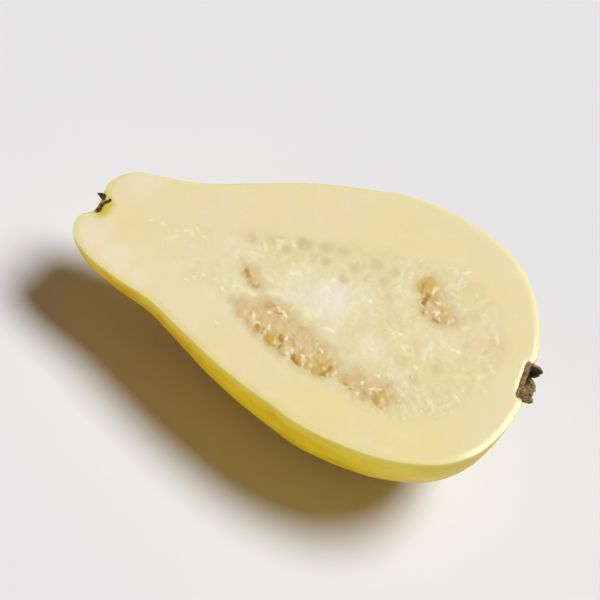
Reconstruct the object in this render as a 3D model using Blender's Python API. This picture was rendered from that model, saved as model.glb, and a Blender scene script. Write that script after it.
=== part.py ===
"""Half of a pear-shaped guava, cut lengthwise and lying on its skin with the cut face up.

The fruit is modelled in fruit space: x runs from the narrow stem end to the wide calyx end,
y lies across the cut face, and the cut face is the plane z = 0 with the flesh below it.
lay_down() then turns and moves the finished pieces to where they rest.
"""

import math
import random

import bmesh
import bpy
from mathutils import Euler, Matrix, Vector

MM = 0.001

# The outline of the fruit as (distance from the stem end, radius), in millimetres. It starts
# in the middle of the stem pit and runs over its lip, along the skin and into the calyx pit.
OUTLINE = (
    (2.4, 0.0), (2.3, 1.9), (1.2, 3.1), (0.2, 4.4), (0.0, 6.0), (0.8, 8.4), (2.6, 10.6),
    (6.0, 12.7), (12.0, 14.4), (20.0, 16.4), (28.0, 20.3), (36.0, 24.4), (44.0, 27.6),
    (52.0, 30.1), (60.0, 32.2), (68.0, 32.8), (76.0, 32.1), (83.0, 30.0), (89.0, 26.5),
    (94.0, 20.9), (97.2, 13.6), (98.5, 8.0), (98.7, 5.4), (98.1, 4.6), (97.4, 4.3), (97.3, 0.0),
)
OUTLINE_STEPS = 2
TURN_STEPS = 28

# The fruit's middle line sways a little to either side: (distance from the stem end, offset in y).
SWAY = ((0.0, 0.3), (13.0, -0.9), (32.0, 0.0), (62.0, 0.8), (80.0, 0.4), (98.7, -1.2))
SWAY_STEPS = 6

# The stem end is cut off square to a bent neck, so it slants across the middle line.
STEM_SLANT = 0.19
STEM_SLANT_REACH = 12.0

# How it lies: the cut face leans towards -Y, the narrow end lies a little low, and the skin
# under its weight is pressed flat this deep.
FACE_LEAN = math.radians(13.0)
NECK_DROP = math.radians(8.0)
FLAT_DEPTH = 1.0

# The dry remains at the two ends as turned sections of (distance, radius), clear of their pits.
STEM_SCAR = ((2.1, 0.0), (2.05, 1.55), (1.3, 1.95), (1.15, 1.5), (1.65, 1.2), (1.7, 0.0))
CALYX_CUP = (
    (97.6, 0.0), (97.65, 3.9), (98.6, 4.15), (99.7, 4.4),
    (99.8, 3.7), (98.9, 3.2), (98.3, 2.7), (98.2, 0.0),
)

# Pieces that touch keep this gap between them.
GAP = 0.3

# The pockets that hold the seeds: half width, depth, then the middle line on the cut face.
POCKETS = {
    "seeds_long_pocket": (3.3, 3.0, ((37.0, -10.0), (42.5, -11.6), (48.0, -14.4), (53.5, -16.9), (61.0, -18.4))),
    "seeds_lower_pocket": (3.0, 2.8, ((63.0, -17.9), (67.0, -18.9), (71.0, -19.3), (75.6, -19.0))),
    "seeds_far_pocket": (3.0, 2.8, ((69.3, 13.8), (72.2, 11.2), (75.2, 8.0), (79.6, 5.0))),
    "seed_small_pocket": (1.9, 2.3, ((34.2, -1.2), (36.8, -2.6), (39.8, -4.6))),
}
ROUTE_STEPS = 6
BEAN_RINGS = 14
BEAN_SIDES = 16
BEAN_BLUNTNESS = 4

# The widest level of a pocket's cutter, just above the cut face.
CUTTER_LEVEL = 0.15

# Each pocket's seeds stand out of a bed of pulp whose surface lies this far below the cut face.
BED_LEVEL = 0.9
BED_CROWN = 0.2
BED_WIDTH_SHARE = 0.86
BED_END_ROOM = 1.9
BED_FLOOR_GAP = 0.45

SEED_HALF_SIZE = Vector((1.15, 0.85, 0.72))
SEED_PITCH = 2.6
SEED_ROW_OFFSET = 1.15
SEED_DEPTH = 0.8
SEED_END_ROOM = 3.3
TWO_ROWS_FROM = 2.5

SKIN_YELLOW = (0.62, 0.43, 0.06)
SEED_TAN = (0.66, 0.42, 0.17)
DRY_BROWN = (0.055, 0.028, 0.012)
RING_BROWN = (0.30, 0.17, 0.06)


def clear_scene():
    """Start from an empty scene."""
    for thing in list(bpy.data.objects):
        bpy.data.objects.remove(thing, do_unlink=True)


def material(name, colour, roughness):
    """A plain Principled material."""
    made = bpy.data.materials.new(name)
    made.use_nodes = True
    shader = made.node_tree.nodes["Principled BSDF"]
    shader.inputs["Base Color"].default_value = (*colour, 1.0)
    shader.inputs["Roughness"].default_value = roughness
    shader.inputs["Metallic"].default_value = 0.0
    return made


def smooth_line(points, steps):
    """A Catmull-Rom curve through the points, with this many steps between neighbours."""
    points = [Vector(point) for point in points]
    ends = [2 * points[0] - points[1]] + points + [2 * points[-1] - points[-2]]
    line = []
    for a, b, c, d in zip(ends, ends[1:], ends[2:], ends[3:]):
        for step in range(steps):
            t = step / steps
            bend = (2 * a - 5 * b + 4 * c - d) * t * t + (3 * b - a - 3 * c + d) * t**3
            line.append(0.5 * (2 * b + (c - a) * t + bend))
    line.append(points[-1])
    return line


def along(line, share):
    """The point and direction at a share, from 0 to 1, of a line's length."""
    lengths = [(b - a).length for a, b in zip(line, line[1:])]
    left = share * sum(lengths)
    for a, b, length in zip(line, line[1:], lengths):
        if left <= length:
            break
        left -= length
    return a.lerp(b, left / length), (b - a).normalized()


def line_length(line):
    """The length of a line of points."""
    return sum((b - a).length for a, b in zip(line, line[1:]))


def sway_at(x):
    """How far the fruit's middle line lies to the side at this distance from the stem end."""
    line = smooth_line(SWAY, SWAY_STEPS)
    for a, b in zip(line, line[1:]):
        if x <= b.x:
            break
    return a.y + (b.y - a.y) * (x - a.x) / (b.x - a.x)


def bent(point):
    """Move a point of the straight turned fruit to its place in the swaying, slanted one."""
    y = point.y + sway_at(point.x)
    near_end = max(0.0, 1.0 - point.x / STEM_SLANT_REACH)
    return Vector((point.x + STEM_SLANT * y * near_end**2, y, point.z))


def add_object(name, mesh, look):
    """Turn a bmesh in millimetres into a named, smooth object in metres."""
    bmesh.ops.recalc_face_normals(mesh, faces=mesh.faces)
    mesh.transform(Matrix.Scale(MM, 4))
    data = bpy.data.meshes.new(name)
    mesh.to_mesh(data)
    mesh.free()
    data.materials.append(look)
    data.shade_smooth()
    data.set_sharp_from_angle(angle=math.radians(40.0))
    made = bpy.data.objects.new(name, data)
    bpy.context.collection.objects.link(made)
    return made


def turned_half(section):
    """The lower half turn of a section that starts and ends on the axis, closed by its cut face.

    It is turned round a straight axis and then bent as the fruit is.
    """
    mesh = bmesh.new()
    verts = [mesh.verts.new((x, radius, 0.0)) for x, radius in section]
    edges = [mesh.edges.new(pair) for pair in zip(verts, verts[1:])]
    bmesh.ops.spin(
        mesh, geom=verts + edges, cent=(0, 0, 0), axis=(-1, 0, 0), angle=math.pi, steps=TURN_STEPS,
    )
    bmesh.ops.remove_doubles(mesh, verts=mesh.verts, dist=0.001)
    bmesh.ops.edgeloop_fill(mesh, edges=[edge for edge in mesh.edges if edge.is_boundary])
    for vert in mesh.verts:
        vert.co = bent(vert.co)
    return mesh


def shortened(line, room):
    """The line with this much taken off both ends."""
    cut = room / line_length(line)
    count = len(line) - 1
    return [along(line, cut + (1.0 - 2.0 * cut) * step / count)[0] for step in range(count + 1)]


def bean(line, half_width, floor_depth, level, crown):
    """A closed bean-shaped mesh along a line: floor_depth deep below its level, crown high above it."""
    mesh = bmesh.new()
    rings = []
    for step in range(1, BEAN_RINGS):
        share = 0.5 - 0.5 * math.cos(math.pi * step / BEAN_RINGS)
        fullness = math.sqrt(1.0 - abs(2.0 * share - 1.0) ** BEAN_BLUNTNESS)
        middle, forward = along(line, share)
        across = Vector((-forward.y, forward.x))
        ring = []
        for side in range(BEAN_SIDES):
            angle = 2.0 * math.pi * (side + 0.5) / BEAN_SIDES
            spot = middle + across * half_width * fullness * math.cos(angle)
            reach = crown if math.sin(angle) > 0.0 else floor_depth
            ring.append(mesh.verts.new((spot.x, spot.y, level + reach * fullness * math.sin(angle))))
        rings.append(ring)
    for ring, following in zip(rings, rings[1:]):
        for side in range(BEAN_SIDES):
            after = (side + 1) % BEAN_SIDES
            mesh.faces.new((ring[side], ring[after], following[after], following[side]))
    for end, ring in ((line[0], rings[0]), (line[-1], rings[-1])):
        tip = mesh.verts.new((end.x, end.y, level))
        for side in range(BEAN_SIDES):
            mesh.faces.new((ring[side], ring[(side + 1) % BEAN_SIDES], tip))
    return mesh


def seed_spots(line, half_width):
    """Where a pocket's seeds lie: one in a narrow pocket, else two staggered rows."""
    if half_width < TWO_ROWS_FROM:
        return [along(line, 0.5)]
    room = line_length(line) - 2.0 * SEED_END_ROOM
    count = round(room / SEED_PITCH)
    spots = []
    for row, offset in enumerate((-SEED_ROW_OFFSET, SEED_ROW_OFFSET)):
        for index in range(count + 1 - row):
            share = (SEED_END_ROOM + room * (index + 0.5 * row) / count) / line_length(line)
            middle, forward = along(line, share)
            spots.append((middle + offset * Vector((-forward.y, forward.x)), forward))
    return spots


def seeds(line, half_width, chance):
    """The seeds of one pocket as separate closed shells in one mesh."""
    mesh = bmesh.new()
    for spot, forward in seed_spots(line, half_width):
        heading = math.atan2(forward.y, forward.x) + chance.uniform(-0.4, 0.4)
        turn = Euler((chance.uniform(-0.3, 0.3), chance.uniform(-0.2, 0.2), heading))
        size = SEED_HALF_SIZE * chance.uniform(0.92, 1.04)
        place = Matrix.LocRotScale(Vector((spot.x, spot.y, -SEED_DEPTH)), turn, size)
        bmesh.ops.create_icosphere(mesh, subdivisions=2, radius=1.0, matrix=place)
    return mesh


def combine(target, tool, operation):
    """Add the tool as a hidden Boolean operand of the target."""
    tool.hide_render = True
    tool.display_type = "WIRE"
    step = target.modifiers.new(tool.name, "BOOLEAN")
    step.operation = operation
    step.solver = "EXACT"
    step.object = tool


def fill_pocket(name, pocket, body, look, chance):
    """Sink a pocket into the body and lay in it a cluster of seeds held together by their pulp."""
    half_width, depth, route = pocket
    line = smooth_line(route, ROUTE_STEPS)
    cutter_mesh = bean(line, half_width, depth + CUTTER_LEVEL, CUTTER_LEVEL, depth)
    cutter = add_object(f"cutter_{name}", cutter_mesh, look)
    combine(body, cutter, "DIFFERENCE")
    bed_width = BED_WIDTH_SHARE * half_width - GAP
    bed_depth = depth - BED_LEVEL - BED_FLOOR_GAP
    bed_mesh = bean(shortened(line, BED_END_ROOM), bed_width, bed_depth, -BED_LEVEL, BED_CROWN)
    cluster = add_object(name, bed_mesh, look)
    tool = add_object(f"tool_{name}", seeds(line, half_width, chance), look)
    combine(cluster, tool, "UNION")
    return [cutter, cluster, tool]


def lay_down(pieces, body):
    """Turn every piece to its resting attitude, cut the flat spot and centre the base on the origin."""
    turn = Matrix.Rotation(-NECK_DROP, 4, "Y") @ Matrix.Rotation(FACE_LEAN, 4, "X")
    for piece in pieces:
        piece.data.transform(turn)
    floor = min(vert.co.z for vert in body.data.vertices) + FLAT_DEPTH * MM
    mesh = bmesh.new()
    mesh.from_mesh(body.data)
    bmesh.ops.bisect_plane(
        mesh, geom=mesh.verts[:] + mesh.edges[:] + mesh.faces[:],
        dist=1e-7, plane_co=(0, 0, floor), plane_no=(0, 0, -1), clear_outer=True,
    )
    bmesh.ops.edgeloop_fill(mesh, edges=[edge for edge in mesh.edges if edge.is_boundary])
    bmesh.ops.recalc_face_normals(mesh, faces=mesh.faces)
    mesh.to_mesh(body.data)
    mesh.free()
    solids = [piece for piece in pieces if not piece.hide_render]
    corners = [vert.co for solid in solids for vert in solid.data.vertices]
    middle_x = 0.5 * (min(co.x for co in corners) + max(co.x for co in corners))
    middle_y = 0.5 * (min(co.y for co in corners) + max(co.y for co in corners))
    for piece in pieces:
        piece.data.transform(Matrix.Translation((-middle_x, -middle_y, -floor)))


def main():
    clear_scene()
    skin = material("guava_flesh_and_skin", SKIN_YELLOW, 0.45)
    tan = material("seed", SEED_TAN, 0.25)
    dark = material("dry_stem_scar", DRY_BROWN, 0.8)
    husk = material("dry_calyx", RING_BROWN, 0.8)
    body = add_object("fruit_half", turned_half(smooth_line(OUTLINE, OUTLINE_STEPS)), skin)
    pieces = [
        body,
        add_object("stem_scar", turned_half(STEM_SCAR), dark),
        add_object("calyx_cup", turned_half(CALYX_CUP), husk),
    ]
    chance = random.Random(11)
    for name, pocket in POCKETS.items():
        pieces += fill_pocket(name, pocket, body, tan, chance)
    lay_down(pieces, body)


main()
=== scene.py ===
"""The looks of the guava half: skin, cut flesh, wet pulp, seeds and the dry remains at its ends.

Everything is modelled in fruit space, in millimetres: x runs from the stem end to the calyx end,
y lies across the cut face and z is the height above it. to_world() lays it down as the frame lies.
"""

import math
import random

import bmesh
import bpy
import numpy as np
from mathutils import Matrix, Vector, noise
from mathutils.geometry import delaunay_2d_cdt
from mathutils.kdtree import KDTree


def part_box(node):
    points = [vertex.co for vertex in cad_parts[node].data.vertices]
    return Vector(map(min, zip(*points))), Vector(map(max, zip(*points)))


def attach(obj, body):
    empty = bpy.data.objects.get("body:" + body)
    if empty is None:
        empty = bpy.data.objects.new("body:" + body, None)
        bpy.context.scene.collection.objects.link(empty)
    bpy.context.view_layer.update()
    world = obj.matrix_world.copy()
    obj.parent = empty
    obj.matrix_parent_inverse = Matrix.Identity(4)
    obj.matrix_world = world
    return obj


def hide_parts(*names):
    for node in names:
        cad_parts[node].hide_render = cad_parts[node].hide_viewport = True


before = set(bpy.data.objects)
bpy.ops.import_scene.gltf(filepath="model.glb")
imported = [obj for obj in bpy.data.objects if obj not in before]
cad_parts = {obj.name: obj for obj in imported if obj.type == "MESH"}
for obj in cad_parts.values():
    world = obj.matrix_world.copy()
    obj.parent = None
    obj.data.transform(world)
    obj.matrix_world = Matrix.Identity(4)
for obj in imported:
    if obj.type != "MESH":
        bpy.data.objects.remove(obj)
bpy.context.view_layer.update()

MM = 0.001

# The fruit as in the part: its outline as (distance from the stem end, radius), how its middle line
# sways as (distance, offset in y), the slant of its stem end, and how it lies.
OUTLINE = (
    (2.4, 0.0), (2.3, 1.9), (1.2, 3.1), (0.2, 4.4), (0.0, 6.0), (0.8, 8.4), (2.6, 10.6),
    (6.0, 12.7), (12.0, 14.4), (20.0, 16.4), (28.0, 20.3), (36.0, 24.4), (44.0, 27.6),
    (52.0, 30.1), (60.0, 32.2), (68.0, 32.8), (76.0, 32.1), (83.0, 30.0), (89.0, 26.5),
    (94.0, 20.9), (97.2, 13.6), (98.5, 8.0), (98.7, 5.4), (98.1, 4.6), (97.4, 4.3), (97.3, 0.0),
)
SWAY = ((0.0, 0.3), (13.0, -0.9), (32.0, 0.0), (62.0, 0.8), (80.0, 0.4), (98.7, -1.2))
STEM_SLANT = 0.19
STEM_SLANT_REACH = 12.0
FACE_LEAN = math.radians(13.0)
NECK_DROP = math.radians(8.0)

# The dry remains at its ends: two turned sections like the outline, and a flake on the cut face.
STEM_SCAR = ((2.6, 0.0), (2.65, 1.4), (2.3, 2.1), (1.8, 2.0), (1.75, 1.5), (2.05, 1.0), (2.1, 0.0))
SHRED = ((0.1, 2.5), (0.9, 2.9), (1.8, 2.9), (2.2, 2.1), (2.3, 1.2), (1.7, 1.25), (1.0, 1.8))
CALYX_CUP = (
    (97.0, 0.0), (97.1, 4.3), (98.2, 4.5), (99.0, 4.5), (99.7, 4.4),
    (99.8, 3.9), (98.9, 3.4), (98.3, 2.9), (98.1, 0.0),
)

# The pockets of seeds: half width, depth, then the middle line on the cut face.
POCKETS = {
    "seeds_long_pocket": (
        4.6, 1.1, ((39.6, -11.2), (43.0, -11.3), (47.5, -13.0), (53.0, -15.0), (59.6, -16.6)),
    ),
    "seeds_lower_pocket": (3.2, 1.0, ((64.4, -18.0), (67.0, -18.5), (70.5, -18.9), (73.4, -18.6))),
    "seeds_far_pocket": (3.0, 1.1, ((72.0, 12.6), (72.6, 9.8), (74.6, 7.2), (78.0, 5.6))),
    "seed_small_pocket": (1.9, 0.8, ((36.2, -1.9), (37.5, -2.9), (38.8, -3.9))),
}

# The seeds that show in each: x, y, half length, turn in degrees and the height of the top.
SEEDS = {
    "seeds_long_pocket": (
        (39.0, -11.9, 1.3, -30, -0.2), (41.4, -13.0, 1.4, -25, 0.05), (43.6, -14.2, 1.3, -40, 0.1),
        (46.7, -15.4, 1.7, -50, 0.3), (50.4, -16.5, 1.7, -10, 0.35), (53.5, -17.6, 1.6, -20, 0.25),
        (56.2, -17.8, 1.3, 20, 0.1), (58.5, -17.8, 1.8, 30, 0.35), (60.7, -17.1, 1.2, 60, -0.05),
        (41.3, -10.6, 1.5, 10, -0.3), (44.0, -11.7, 1.7, -20, -0.25), (46.6, -12.3, 1.7, 30, -0.15),
        (48.9, -14.0, 1.3, -60, -0.1), (51.6, -14.6, 1.7, -15, 0.0), (54.6, -15.4, 1.9, 15, 0.1),
        (57.4, -15.0, 1.7, -30, 0.0), (59.7, -15.4, 1.1, 20, -0.3), (43.2, -8.4, 1.7, 20, -0.3),
        (46.2, -8.9, 1.9, -10, -0.15), (48.9, -10.2, 1.7, -30, -0.4), (51.9, -11.4, 1.8, 0, -0.42),
        (54.9, -12.7, 1.7, -20, -0.4), (57.4, -13.2, 1.2, 10, -0.4), (38.3, -10.2, 1.2, 30, -0.4),
    ),
    "seeds_lower_pocket": (
        (64.1, -17.8, 1.5, 0, -0.25), (66.5, -18.7, 1.4, 30, -0.15), (66.9, -16.6, 1.4, -40, -0.3),
        (69.4, -17.2, 1.6, 20, -0.2), (69.0, -19.4, 1.4, 0, -0.25), (71.5, -19.2, 1.7, -20, 0.0),
        (71.9, -16.7, 1.8, 40, -0.2), (73.6, -18.2, 1.3, 70, -0.3),
    ),
    "seeds_far_pocket": (
        (72.1, 11.7, 2.5, 83, 0.1), (72.7, 8.0, 1.2, 85, -0.2), (75.1, 9.0, 1.4, -60, 0.0),
        (75.2, 6.5, 1.2, 30, 0.0), (77.0, 7.4, 1.1, 10, -0.15), (78.5, 5.8, 1.5, 15, 0.05),
        (76.4, 4.9, 1.1, 0, -0.05), (73.4, 5.6, 1.0, 60, -0.2),
    ),
    "seed_small_pocket": ((36.7, -2.2, 1.5, -40, -0.1), (38.5, -3.8, 1.3, -35, -0.15)),
}

# Round marks on the cut face: x, y, radius and strength. The ghosts are seeds that hide in the pulp.
GHOST_SEEDS = (
    (44.8, 10.3, 1.7, 1.0), (49.5, 11.6, 1.4, 0.7), (53.0, 12.3, 1.3, 0.6), (60.6, 12.4, 1.4, 0.7),
    (64.8, 12.1, 1.3, 0.6), (56.6, 9.2, 1.2, 0.8), (50.6, 8.2, 1.2, 0.6), (47.6, 7.4, 1.0, 0.4),
    (55.4, 5.6, 1.1, 0.8), (42.0, 7.0, 1.2, 0.6), (38.7, 8.2, 1.5, 0.5), (34.4, 6.4, 1.3, 0.6),
    (59.8, 8.0, 1.1, 0.5), (63.4, 8.6, 1.2, 0.5), (66.2, 5.6, 1.1, 0.3), (77.3, -11.8, 1.5, 0.5),
    (73.4, -8.2, 1.3, 0.3), (80.6, -7.0, 1.4, 0.35), (62.8, -4.6, 1.3, 0.3), (83.4, 9.0, 1.4, 0.35),
    (77.4, 12.2, 1.2, 0.35), (42.3, -2.4, 1.1, 0.25), (84.6, 1.4, 1.2, 0.3), (70.2, 0.6, 1.2, 0.25),
)
PALE_PATCHES = (
    (54.5, -0.8, 6.0, 1.0), (48.6, 2.6, 4.0, 0.5), (60.0, 1.8, 4.5, 0.5), (66.2, -9.0, 3.4, 0.6),
    (29.5, 1.5, 6.0, 0.5), (35.5, -6.0, 4.5, 0.45), (68.0, 9.0, 3.4, 0.5), (56.5, -8.2, 3.2, 0.6),
    (44.5, -3.4, 5.0, 0.55), (74.0, -12.6, 3.0, 0.3), (79.0, -1.0, 4.0, 0.3),
)
PALE_RIM = (
    (4.0, -7.5, 4.5, 0.5), (10.5, -10.5, 4.0, 0.55), (17.0, -13.0, 3.5, 0.4), (8.0, 9.0, 4.5, 0.35),
    (21.0, -6.5, 8.0, 0.25), (33.0, -8.0, 7.0, 0.3), (28.0, -15.0, 6.0, 0.2),
)
BUTTER_PATCHES = (
    (9.0, -1.5, 5.0, 0.5), (17.0, -5.5, 6.0, 0.3), (60.0, 20.0, 8.0, 0.5), (78.0, 22.0, 7.0, 0.4),
    (40.0, -20.0, 8.0, 0.3), (64.0, -25.0, 9.0, 0.9), (78.0, -23.0, 8.0, 0.9), (92.0, 6.0, 7.0, 0.5),
)
BLUSHES = (
    (89.1, 3.2, 3.6, 0.5), (83.0, -13.5, 3.0, 0.3), (78.4, 3.4, 1.6, 0.4), (66.6, 13.6, 2.2, 0.25),
    (33.0, 7.4, 1.8, 0.25), (54.0, -11.5, 4.0, 0.35), (77.6, -15.6, 2.6, 0.25), (74.6, 10.8, 2.2, 0.3),
)
AMBER = (
    (47.4, -15.6, 1.9, 0.95), (58.9, -17.3, 2.1, 0.85), (53.3, -17.8, 1.5, 0.7), (43.4, -14.3, 1.2, 0.5),
    (72.2, 11.4, 3.0, 0.65), (71.6, -19.2, 1.7, 0.6), (64.2, -18.2, 1.7, 0.35), (77.0, 8.2, 1.0, 0.4),
    (78.8, 5.2, 1.4, 0.6), (37.2, -3.7, 1.0, 0.3), (43.6, -7.8, 1.2, 0.4), (51.4, -9.2, 1.4, 0.35),
    (48.2, -14.6, 1.0, 0.6), (72.4, -17.6, 1.4, 0.5),
)

# Clefts between the seeds, sunk a little and darkened as painted shade: half width, strength and the
# line that each follows.
CLEFTS = (
    (0.3, 0.6, ((44.2, -13.8), (44.5, -15.8))),
    (0.4, 0.6, ((48.4, -13.8), (48.6, -16.0), (47.4, -17.5))),
    (0.3, 0.4, ((49.3, -13.9), (50.6, -12.6))), (0.28, 0.3, ((50.6, -13.3), (51.5, -14.9))),
    (0.36, 0.65, ((51.8, -16.8), (52.4, -18.0), (53.4, -18.9))),
    (0.26, 0.3, ((55.1, -16.4), (55.5, -18.6))),
    (0.5, 0.6, ((60.0, -16.4), (59.4, -18.0), (58.8, -19.2))),
    (0.3, 0.3, ((57.0, -14.1), (58.5, -15.2))), (0.35, 0.6, ((42.8, -13.5), (43.6, -14.8))),
    (0.3, 0.5, ((45.1, -8.9), (46.2, -8.6))), (0.35, 0.4, ((43.2, -8.4), (44.2, -7.4))),
    (0.36, 0.35, ((67.2, -18.3), (68.9, -19.2))), (0.4, 0.45, ((70.1, -18.2), (71.0, -20.0))),
    (0.35, 0.4, ((63.7, -18.8), (65.2, -19.2))), (0.36, 0.6, ((34.9, -2.1), (36.1, -1.8), (36.7, -2.8))),
    (0.34, 0.4, ((38.6, -4.6), (39.8, -4.2))), (0.5, 1.0, ((72.7, 9.4), (72.6, 8.2), (72.4, 6.9))),
    (0.34, 0.8, ((75.7, 4.3), (77.3, 4.0))), (0.32, 0.6, ((73.2, 5.6), (73.0, 4.3))),
    (0.3, 0.4, ((71.0, 11.6), (71.3, 9.6))),
)

# Painted highlights, the brightest pale streaks on the wet seeds and pulp: x, y, half length and turn in
# degrees.
GLINTS = (
    (41.3, -11.6, 0.75, -75), (42.8, -12.8, 0.4, 0), (45.5, -7.9, 0.6, -60), (47.1, -8.6, 0.65, -40),
    (44.0, -9.5, 0.6, 30), (45.2, -12.9, 0.55, -80), (49.4, -13.8, 0.5, 50), (56.9, -13.4, 0.5, -50),
    (53.8, -16.3, 0.6, 15), (65.5, -18.8, 0.4, 0), (67.1, -17.0, 0.5, 70), (69.2, -17.6, 0.4, 40),
    (70.8, -16.9, 0.45, 30), (66.9, -19.7, 0.4, 0), (75.1, 8.7, 0.45, 0), (75.1, 6.1, 0.45, 60),
    (66.9, 8.0, 0.5, 60), (69.2, -14.0, 0.6, 20), (53.8, -1.3, 0.6, -30), (56.4, -8.0, 0.9, 5),
    (61.4, 2.6, 0.9, 15), (44.2, 1.9, 0.8, -25), (13.0, 0.9, 0.45, 20), (15.6, 1.3, 0.4, -30),
    (20.7, 1.9, 0.55, 15), (22.4, 3.6, 0.35, 0), (24.6, 2.2, 0.4, 0), (28.2, -7.0, 0.35, 0),
    (30.8, -6.9, 0.45, 30), (32.9, -8.5, 0.5, -20), (25.4, -9.7, 0.4, 0), (70.0, -2.6, 1.1, 20),
    (78.4, 19.0, 0.9, 35), (85.7, -11.7, 0.7, -30), (76.0, -8.6, 0.6, -30), (35.0, -16.7, 0.35, 0),
    (82.4, -1.0, 0.8, 0), (80.6, -15.2, 0.5, -40), (66.2, -8.6, 0.5, 0), (68.6, 17.4, 0.4, 40),
)

# The border between the outer flesh and the pulp, going round the cut face from the stem end.
PULP_BORDER = (
    (11.0, -0.5), (16.0, 1.8), (22.0, 3.6), (28.0, 6.2), (35.0, 9.0), (43.0, 12.4), (51.0, 14.4),
    (60.0, 16.0), (69.0, 18.2), (77.0, 19.4), (84.0, 17.0), (89.0, 11.0), (91.5, 3.0), (91.0, -6.0),
    (87.5, -14.0), (81.5, -19.5), (74.0, -22.6), (66.0, -22.4), (58.0, -21.0), (50.0, -19.4),
    (44.0, -16.4), (38.0, -12.6), (31.0, -10.4), (24.0, -8.4), (17.0, -4.6),
)

# Where the stem meets the cut face, and the heart of the pulp.
STEM_PIT = (2.9, -0.5)
HEART = np.array((52.0, -1.5))

# How many steps a smooth line takes between two of its points.
FINE = 8
COARSE = 6

# The spacing of the meshes' points, and how many faces go round a half turn.
SKIN_STEP = 0.5
SKIN_TURNS = 96
FACE_STEP = 0.33
SEED_STEP = 0.17
SCAR_STEP = 0.1
SCAR_TURNS = 48
CALYX_STEP = 0.16
CALYX_TURNS = 110

# The cut's rounded rim, the skin's lumps as (height, grain size), and the folds and the dry skin
# round these places on the fruit's long axis.
RIM_DROP = 0.3
RIM_ROUND = 1.5
LUMPS = ((0.3, 17.0), (0.1, 6.0))
FOLD_DEPTH = 0.22
STEM_FOLDS = 2.6
STEM_DRYNESS = 3.2
CALYX_MIDDLE = 97.5

# A seed's half width and its height as shares of its half length, how far its outline wanders, how
# sharply it rises from the wet film, and how much of its height shows.
SEED_WIDTH = 0.8
SEED_HEIGHT = 0.62
SEED_WARP = 0.42
SEED_SHARPNESS = 6.5
SEED_RELIEF = 0.46

# How deep the clefts and the film lie, how far a filling runs past its pocket, and its sunk edge.
CLEFT_DEPTH = 0.12
FILM_DROP = 0.34
FILLING_MARGIN = 0.9
EDGE_SINK = 0.2

# The pale strokes of painted highlight in the pulp and the beads on it, which keep clear of the seeds.
# A bead's height and how deep it sits are shares of its half width.
GHOST_HEIGHT = 0.1
STROKE_HEIGHT = 0.08
STROKE_COUNT = 110
STROKE_CLEARANCE = 1.2
BEAD_COUNT = 45
BEAD_CLEARANCE = 0.8
BEAD_HEIGHT = 0.2
BEAD_SINK = 0.06

# The view: the place in fruit space that the camera aims at, its distance in metres, and its lens.
AIM = Vector((48.7, -3.7, 0.0))
AZIMUTH = math.radians(1.54)
ELEVATION = math.radians(42.1)
ROLL = math.radians(28.88)
DISTANCE = 0.345
LENS = 100.0

# The light: each lamp's place in metres, its power and its colour.
WINDOW = ((0.95, 0.68, 2.4), 3.6, (0.875, 0.934, 0.985))
WINDOW_ANGLE = math.radians(32.0)
FILL = ((-0.75, -1.5, 0.14), 7.7, (1.0, 0.88, 0.66))
FILL_SIZE = 0.5
ROOM_COLOUR = (1.0, 0.6, 0.42, 1.0)
ROOM_STRENGTH = 0.13
FLOOR_REACH = 4.0


def smooth_line(points, steps, closed=False):
    """A Catmull-Rom curve through the points, with this many steps between neighbours."""
    points = np.array(points, float)
    if closed:
        ends = np.vstack([points[-1], points, points[:2]])
    else:
        ends = np.vstack([2 * points[0] - points[1], points, 2 * points[-1] - points[-2]])
    t = (np.arange(steps) / steps)[:, None]
    line = []
    for a, b, c, d in zip(ends, ends[1:], ends[2:], ends[3:]):
        bend = (2 * a - 5 * b + 4 * c - d) * t**2 + (3 * b - a - 3 * c + d) * t**3
        line.append(0.5 * (2 * b + (c - a) * t + bend))
    if not closed:
        line.append(points[-1:])
    return np.vstack(line)


def evenly(line, spacing):
    """The same line with its points evenly spaced."""
    walked = np.append(0.0, np.cumsum(np.linalg.norm(np.diff(line, axis=0), axis=1)))
    count = round(walked[-1] / spacing)
    at = np.linspace(0.0, walked[-1], count + 1)
    return np.stack([np.interp(at, walked, line[:, axis]) for axis in range(line.shape[1])], axis=1)


def bent(points):
    """Move points of the straight turned fruit to their places in the swaying, slanted one."""
    sway = smooth_line(SWAY, COARSE)
    moved = points.copy()
    moved[:, 1] += np.interp(points[:, 0], sway[:, 0], sway[:, 1])
    near_end = np.maximum(0.0, 1.0 - points[:, 0] / STEM_SLANT_REACH)
    moved[:, 0] += STEM_SLANT * moved[:, 1] * near_end**2
    return moved


def turned_points(profile, turns):
    """Points of the lower half turn of a profile of (distance, radius): [profile point, turn, xyz]."""
    angle = np.linspace(0.0, math.pi, turns + 1)
    x = np.repeat(profile[:, :1], turns + 1, axis=1)
    return np.stack([x, profile[:, 1:] * np.cos(angle), -profile[:, 1:] * np.sin(angle)], axis=2)


TURN = np.array(Matrix.Rotation(-NECK_DROP, 3, "Y") @ Matrix.Rotation(FACE_LEAN, 3, "X"))


def find_place():
    """Where fruit space's origin lies, so that the turned outline fills the part's own box."""
    outline = turned_points(smooth_line(OUTLINE, FINE), 60).reshape(-1, 3)
    laid = bent(outline) @ TURN.T * MM
    low, high = (np.array(corner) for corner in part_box("fruit_half"))
    place = 0.5 * (low + high) - 0.5 * (laid.min(axis=0) + laid.max(axis=0))
    place[2] = high[2] - laid[:, 2].max()
    return place


PLACE = find_place()


def to_world(points):
    """Fruit space in millimetres to the frame's space in metres, with nothing under the floor."""
    laid = np.asarray(points, float) @ TURN.T * MM + PLACE
    laid[:, 2] = np.maximum(laid[:, 2], 0.0)
    return laid


def rough(points, size, seed=0.0):
    """Smooth noise of this grain size at each point, about -1 to 1."""
    shift = Vector((seed, 2.3 * seed, -1.7 * seed))
    return np.array([noise.noise(Vector(p) / size + shift) for p in points])


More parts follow.
